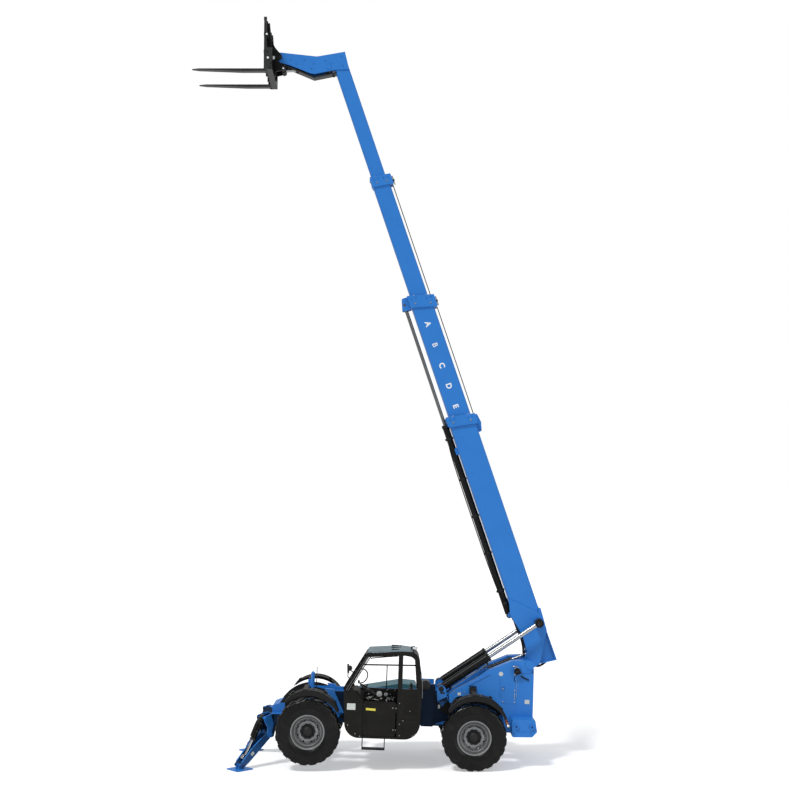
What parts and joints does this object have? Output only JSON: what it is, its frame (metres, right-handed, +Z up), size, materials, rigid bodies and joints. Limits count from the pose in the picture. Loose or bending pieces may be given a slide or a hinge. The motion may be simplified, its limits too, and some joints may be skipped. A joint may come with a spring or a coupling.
{
  "type": "telehandler with a four-section boom, pallet forks and front stabilisers",
  "caption": "Four-wheel telescopic handler on its front stabilisers, boom raised and extended, pallet forks on a drop-nosed head.",
  "frame": {"origin": "on the ground under the middle of the overall box", "axes": "+X forward, the way the forks point; +Y to the machine's left, the cab's side; +Z up"},
  "size_m": [7.9919, 2.593, 16.2554],
  "materials": {
    "blue_paint": "gloss blue enamel over plate steel",
    "black_paint": "satin black paint",
    "roof_grey": "blue-grey satin panel",
    "black_plastic": "moulded black plastic",
    "seat_vinyl": "black vinyl",
    "engine_iron": "dark cast iron",
    "chrome_rod": "hard chrome",
    "chain_steel": "oiled steel",
    "rim_grey": "silver-grey satin paint",
    "tyre_rubber": "black rubber"
  },
  "bodies": {
    "chassis": {"chassis_frame": "blue_paint", "side_tanks": "blue_paint", "counterweight": "blue_paint", "tie_downs": "blue_paint", "axle_beams": "black_paint", "fenders": "black_plastic", "stabiliser_beam": "blue_paint", "cab_shell": "black_paint", "cab_roof": "roof_grey", "seat": "seat_vinyl", "console": "black_plastic", "engine_bay": "blue_paint", "engine_block": "engine_iron", "fittings": "black_paint"},
    "door": {"cab_door": "black_paint"},
    "hood": {"engine_hood": "blue_paint"},
    "boom_1": {"boom_section_1": "blue_paint", "extension_barrel": "black_paint"},
    "boom_2": {"boom_section_2": "blue_paint", "extension_rod": "chrome_rod", "chain_run_lower": "chain_steel"},
    "boom_3": {"boom_section_3": "blue_paint", "chain_run_upper": "chain_steel"},
    "boom_4": {"boom_section_4": "blue_paint"},
    "carriage": {"fork_carriage": "black_paint", "forks": "black_paint"},
    "tilt_barrel": {"tilt_barrel": "black_paint"},
    "tilt_rod": {"tilt_rod": "chrome_rod"},
    "lift_barrels": {"lift_barrels": "black_paint"},
    "lift_rods": {"lift_rods": "chrome_rod"},
    "compensating_barrel": {"compensating_barrel": "black_paint"},
    "compensating_rod": {"compensating_rod": "chrome_rod"},
    "leg_left": {"stabiliser_leg_left": "blue_paint"},
    "leg_barrel_left": {"stabiliser_barrel_left": "black_paint"},
    "leg_rod_left": {"stabiliser_rod_left": "chrome_rod"},
    "pad_left": {"stabiliser_pad_left": "blue_paint"},
    "leg_right": {"stabiliser_leg_right": "blue_paint"},
    "leg_barrel_right": {"stabiliser_barrel_right": "black_paint"},
    "leg_rod_right": {"stabiliser_rod_right": "chrome_rod"},
    "pad_right": {"stabiliser_pad_right": "blue_paint"},
    "knuckle_front_left": {"knuckle_front_left": "black_paint"},
    "wheel_front_left": {"rim_front_left": "rim_grey", "tyre_front_left": "tyre_rubber"},
    "knuckle_front_right": {"knuckle_front_right": "black_paint"},
    "wheel_front_right": {"rim_front_right": "rim_grey", "tyre_front_right": "tyre_rubber"},
    "knuckle_rear_left": {"knuckle_rear_left": "black_paint"},
    "wheel_rear_left": {"rim_rear_left": "rim_grey", "tyre_rear_left": "tyre_rubber"},
    "knuckle_rear_right": {"knuckle_rear_right": "black_paint"},
    "wheel_rear_right": {"rim_rear_right": "rim_grey", "tyre_rear_right": "tyre_rubber"}
  },
  "joints": [
    {"name": "boom_lift", "type": "hinge", "parent": "chassis", "child": "boom_1", "pos_m": [-3.3695, 0, 2.07194], "axis": [0, -1, 0], "range_deg": [-73.5, 1]},
    {"name": "lift_cylinder_swing", "type": "hinge", "parent": "chassis", "child": "lift_barrels", "pos_m": [-1.48899, 0, 1.57427], "axis": [0, -1, 0], "range_deg": [-8.2, 0.6]},
    {"name": "lift_cylinder_stroke", "type": "slide", "parent": "lift_barrels", "child": "lift_rods", "axis": [-0.8395, 0, 0.5433], "range_m": [-1.0396, 0.0181]},
    {"name": "compensating_cylinder_swing", "type": "hinge", "parent": "chassis", "child": "compensating_barrel", "pos_m": [-2.48344, 0, 1.91377], "axis": [0, -1, 0], "range_deg": [-3.23, 0.54]},
    {"name": "compensating_cylinder_stroke", "type": "slide", "parent": "compensating_barrel", "child": "compensating_rod", "axis": [-0.938, 0, 0.3468], "range_m": [-0.2681, 0.0076]},
    {"name": "boom_extend", "type": "slide", "parent": "boom_1", "child": "boom_2", "axis": [0.3156, 0, 0.9489], "range_m": [-2.43, 0.7]},
    {"name": "boom_extend_3", "type": "slide", "parent": "boom_2", "child": "boom_3", "axis": [0.3156, 0, 0.9489], "range_m": [-2.432, 0.702]},
    {"name": "boom_extend_4", "type": "slide", "parent": "boom_3", "child": "boom_4", "axis": [0.3156, 0, 0.9489], "range_m": [-2.432, 0.702]},
    {"name": "fork_tilt", "type": "hinge", "parent": "boom_4", "child": "carriage", "pos_m": [2.23093, 0, 15.49543], "axis": [0, 1, 0], "range_deg": [-88, 36]},
    {"name": "tilt_cylinder_swing", "type": "hinge", "parent": "boom_4", "child": "tilt_barrel", "pos_m": [0.97752, 0, 15.29798], "axis": [0, 1, 0], "range_deg": [-2.26, 1.22]},
    {"name": "tilt_cylinder_stroke", "type": "slide", "parent": "tilt_barrel", "child": "tilt_rod", "axis": [0.999, 0, -0.045], "range_m": [-0.1517, 0.3649]},
    {"name": "stabiliser_left", "type": "hinge", "parent": "chassis", "child": "leg_left", "pos_m": [2.18847, 0.546, 0.65105], "axis": [-0.6816, 0.7314, -0.0238], "range_deg": [-43, 0]},
    {"name": "stabiliser_left_cylinder_swing", "type": "hinge", "parent": "chassis", "child": "leg_barrel_left", "pos_m": [2.27535, 0.63807, 0.99229], "axis": [-0.6816, 0.7314, -0.0238], "range_deg": [-36.05, 0.5]},
    {"name": "stabiliser_left_cylinder_stroke", "type": "slide", "parent": "leg_barrel_left", "child": "leg_rod_left", "axis": [0.3817, 0.3276, -0.8643], "range_m": [-0.2523, 0.004]},
    {"name": "stabiliser_left_pad", "type": "hinge", "parent": "leg_left", "child": "pad_left", "pos_m": [2.69698, 1.00157, 0.088], "axis": [-0.6816, 0.7314, -0.0238], "range_deg": [-20, 20]},
    {"name": "stabiliser_right", "type": "hinge", "parent": "chassis", "child": "leg_right", "pos_m": [2.18847, -0.546, 0.65105], "axis": [0.6816, 0.7314, 0.0238], "range_deg": [-43, 0]},
    {"name": "stabiliser_right_cylinder_swing", "type": "hinge", "parent": "chassis", "child": "leg_barrel_right", "pos_m": [2.27535, -0.63807, 0.99229], "axis": [0.6816, 0.7314, 0.0238], "range_deg": [-36.05, 0.5]},
    {"name": "stabiliser_right_cylinder_stroke", "type": "slide", "parent": "leg_barrel_right", "child": "leg_rod_right", "axis": [0.3817, -0.3276, -0.8643], "range_m": [-0.2523, 0.004]},
    {"name": "stabiliser_right_pad", "type": "hinge", "parent": "leg_right", "child": "pad_right", "pos_m": [2.69698, -1.00157, 0.088], "axis": [0.6816, 0.7314, 0.0238], "range_deg": [-20, 20]},
    {"name": "steer_front_left", "type": "hinge", "parent": "chassis", "child": "knuckle_front_left", "pos_m": [1.28791, 0.92, 0.79471], "axis": [-0.0349, 0, 0.9994], "range_deg": [-18, 18]},
    {"name": "roll_front_left", "type": "hinge", "parent": "knuckle_front_left", "child": "wheel_front_left", "pos_m": [1.28791, 1.1, 0.79471], "axis": [0, 1, 0], "continuous": true},
    {"name": "steer_front_right", "type": "hinge", "parent": "chassis", "child": "knuckle_front_right", "pos_m": [1.28791, -0.92, 0.79471], "axis": [-0.0349, 0, 0.9994], "range_deg": [-18, 18]},
    {"name": "roll_front_right", "type": "hinge", "parent": "knuckle_front_right", "child": "wheel_front_right", "pos_m": [1.28791, -1.1, 0.79471], "axis": [0, 1, 0], "continuous": true},
    {"name": "steer_rear_left", "type": "hinge", "parent": "chassis", "child": "knuckle_rear_left", "pos_m": [-2.14, 0.92, 0.675], "axis": [-0.0349, 0, 0.9994], "range_deg": [-18, 18]},
    {"name": "roll_rear_left", "type": "hinge", "parent": "knuckle_rear_left", "child": "wheel_rear_left", "pos_m": [-2.14, 1.1, 0.675], "axis": [0, 1, 0], "continuous": true},
    {"name": "steer_rear_right", "type": "hinge", "parent": "chassis", "child": "knuckle_rear_right", "pos_m": [-2.14, -0.92, 0.675], "axis": [-0.0349, 0, 0.9994], "range_deg": [-18, 18]},
    {"name": "roll_rear_right", "type": "hinge", "parent": "knuckle_rear_right", "child": "wheel_rear_right", "pos_m": [-2.14, -1.1, 0.675], "axis": [0, 1, 0], "continuous": true},
    {"name": "door_hinge", "type": "hinge", "parent": "chassis", "child": "door", "pos_m": [-0.53598, 1.292, 1.04621], "axis": [-0.0349, 0, 0.9994], "range_deg": [0, 100]},
    {"name": "hood_hinge", "type": "hinge", "parent": "chassis", "child": "hood", "pos_m": [-0.99402, -0.845, 1.44046], "axis": [0, -1, 0], "range_deg": [0, 50]}
  ],
  "couplings": [
    {"joint": "lift_cylinder_swing", "follows": "boom_lift", "ratio": 0.10471},
    {"joint": "lift_cylinder_stroke", "follows": "boom_lift", "m_per_rad": 0.80728},
    {"joint": "compensating_cylinder_swing", "follows": "boom_lift", "ratio": 0.037111},
    {"joint": "compensating_cylinder_stroke", "follows": "boom_lift", "m_per_rad": 0.20589},
    {"joint": "boom_extend_3", "follows": "boom_extend", "ratio": 1},
    {"joint": "boom_extend_4", "follows": "boom_extend", "ratio": 1},
    {"joint": "tilt_cylinder_swing", "follows": "fork_tilt", "ratio": 0.02},
    {"joint": "tilt_cylinder_stroke", "follows": "fork_tilt", "m_per_rad": -0.235},
    {"joint": "stabiliser_left_cylinder_swing", "follows": "stabiliser_left", "ratio": 0.82673},
    {"joint": "stabiliser_left_cylinder_stroke", "follows": "stabiliser_left", "m_per_rad": 0.33089},
    {"joint": "stabiliser_right_cylinder_swing", "follows": "stabiliser_right", "ratio": 0.82673},
    {"joint": "stabiliser_right_cylinder_stroke", "follows": "stabiliser_right", "m_per_rad": 0.33089},
    {"joint": "steer_front_right", "follows": "steer_front_left", "ratio": 1},
    {"joint": "steer_rear_right", "follows": "steer_rear_left", "ratio": 1}
  ]
}
